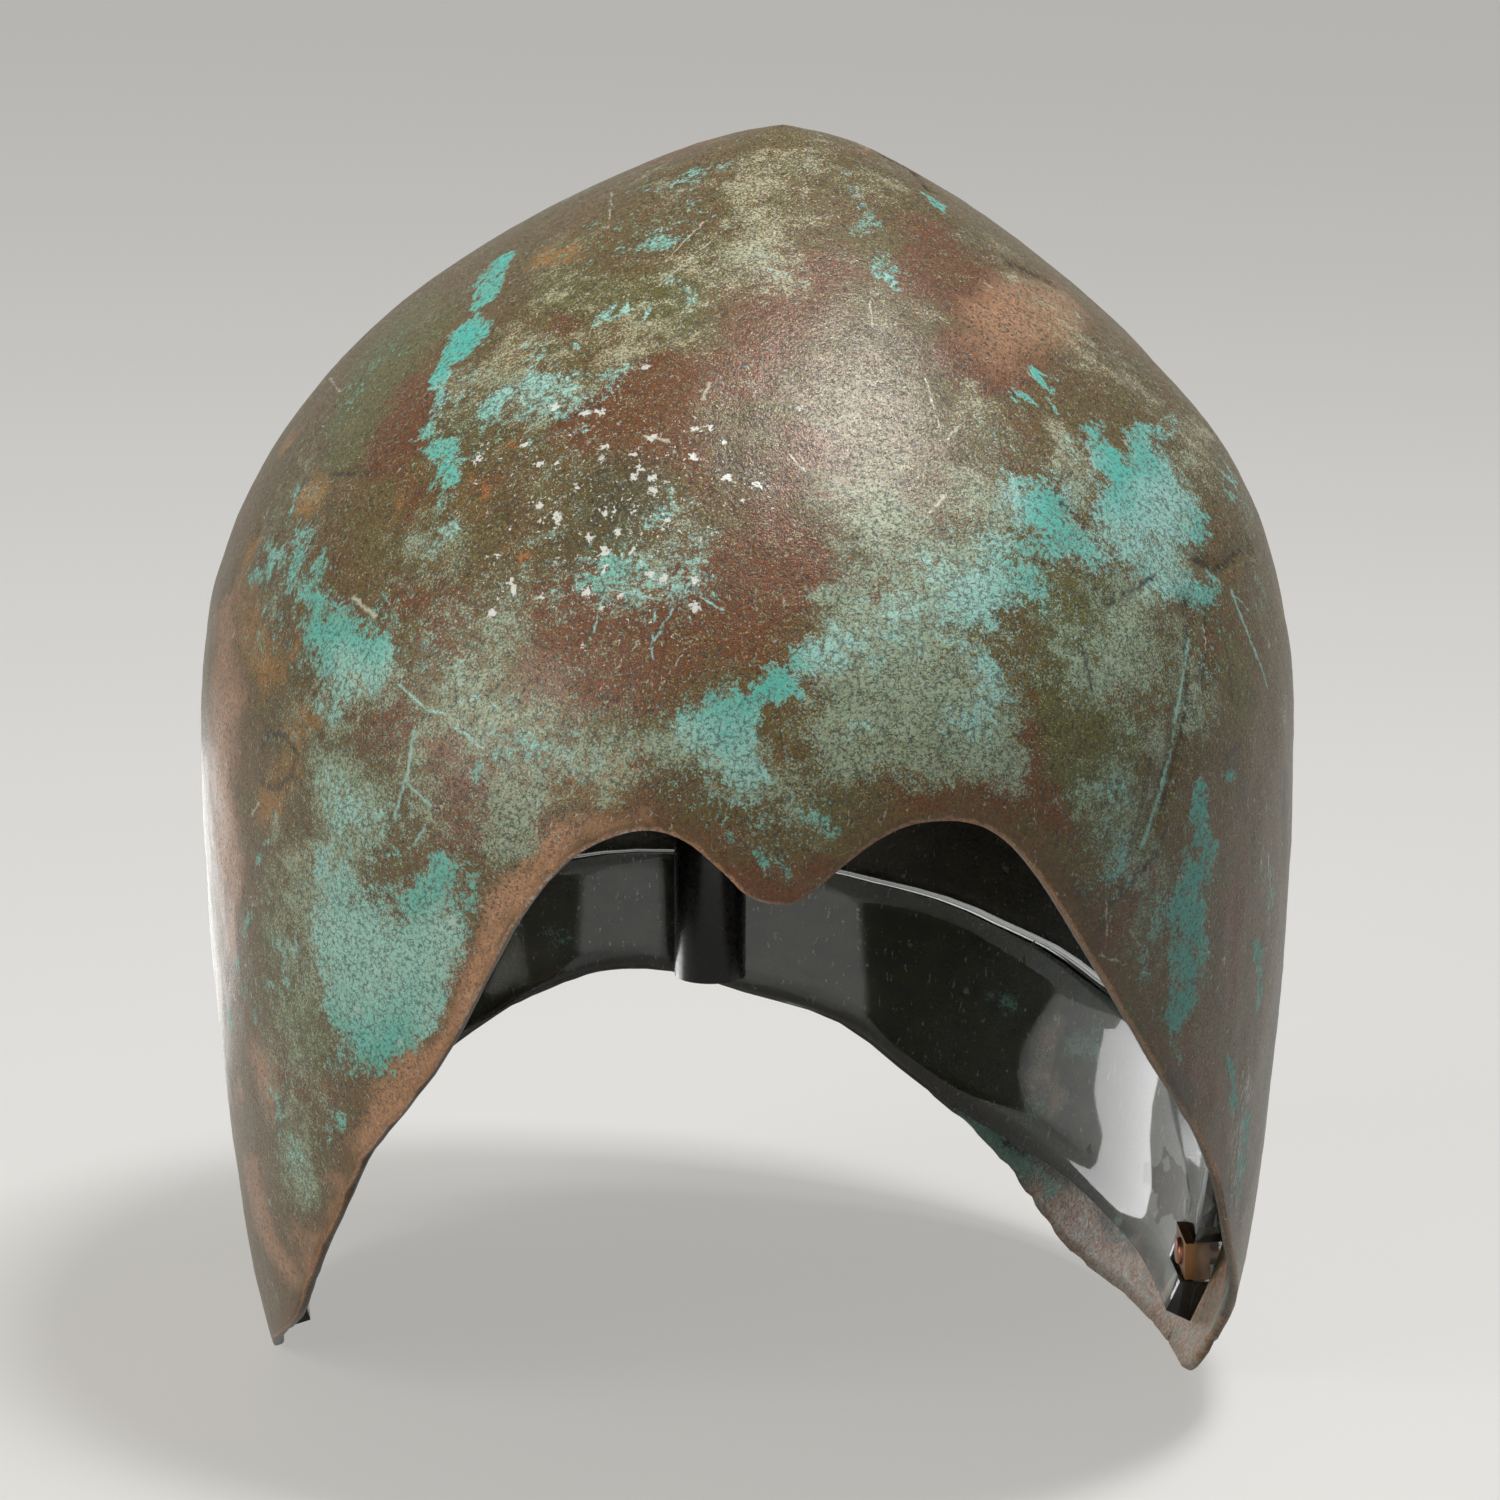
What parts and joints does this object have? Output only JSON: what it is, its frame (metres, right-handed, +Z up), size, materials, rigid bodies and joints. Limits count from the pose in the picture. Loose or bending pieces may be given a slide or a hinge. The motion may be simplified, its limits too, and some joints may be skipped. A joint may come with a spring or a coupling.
{
  "type": "bronze helmet",
  "caption": "Ancient open-faced bronze helmet with pointed crown, twin eye arches, cheek flaps and arched nape, held on a clear bent liner with an upright rod.",
  "frame": {"origin": "middle of the footprint on the surface that the helmet stands on", "axes": "+Z up, -Y out of the face opening, +X towards the wearer's left"},
  "size_m": [0.1958, 0.2304, 0.2258],
  "materials": {
    "bronze": "corroded, satin, brown and green patina",
    "clear_acrylic": "clear, polished",
    "black_rod": "gloss black",
    "screw_steel": "plain steel",
    "block_brass": "machined",
    "pin_copper": "satin copper colour"
  },
  "bodies": {
    "helmet_on_liner": {"helmet_shell": "bronze", "support_liner": "clear_acrylic", "upright_rod": "black_rod", "rod_screw_lower": "screw_steel", "rod_screw_upper": "screw_steel", "left_cheek_block": "block_brass", "right_cheek_block": "block_brass"},
    "left_pin": {"left_cheek_pin": "pin_copper"},
    "right_pin": {"right_cheek_pin": "pin_copper"}
  },
  "joints": [
    {"name": "left_pin_slide", "type": "slide", "parent": "helmet_on_liner", "child": "left_pin", "axis": [-0.9987, 0.0024, -0.05], "range_m": [0, 0.006]},
    {"name": "right_pin_slide", "type": "slide", "parent": "helmet_on_liner", "child": "right_pin", "axis": [0.9987, -0.0024, 0.05], "range_m": [0, 0.006]}
  ]
}
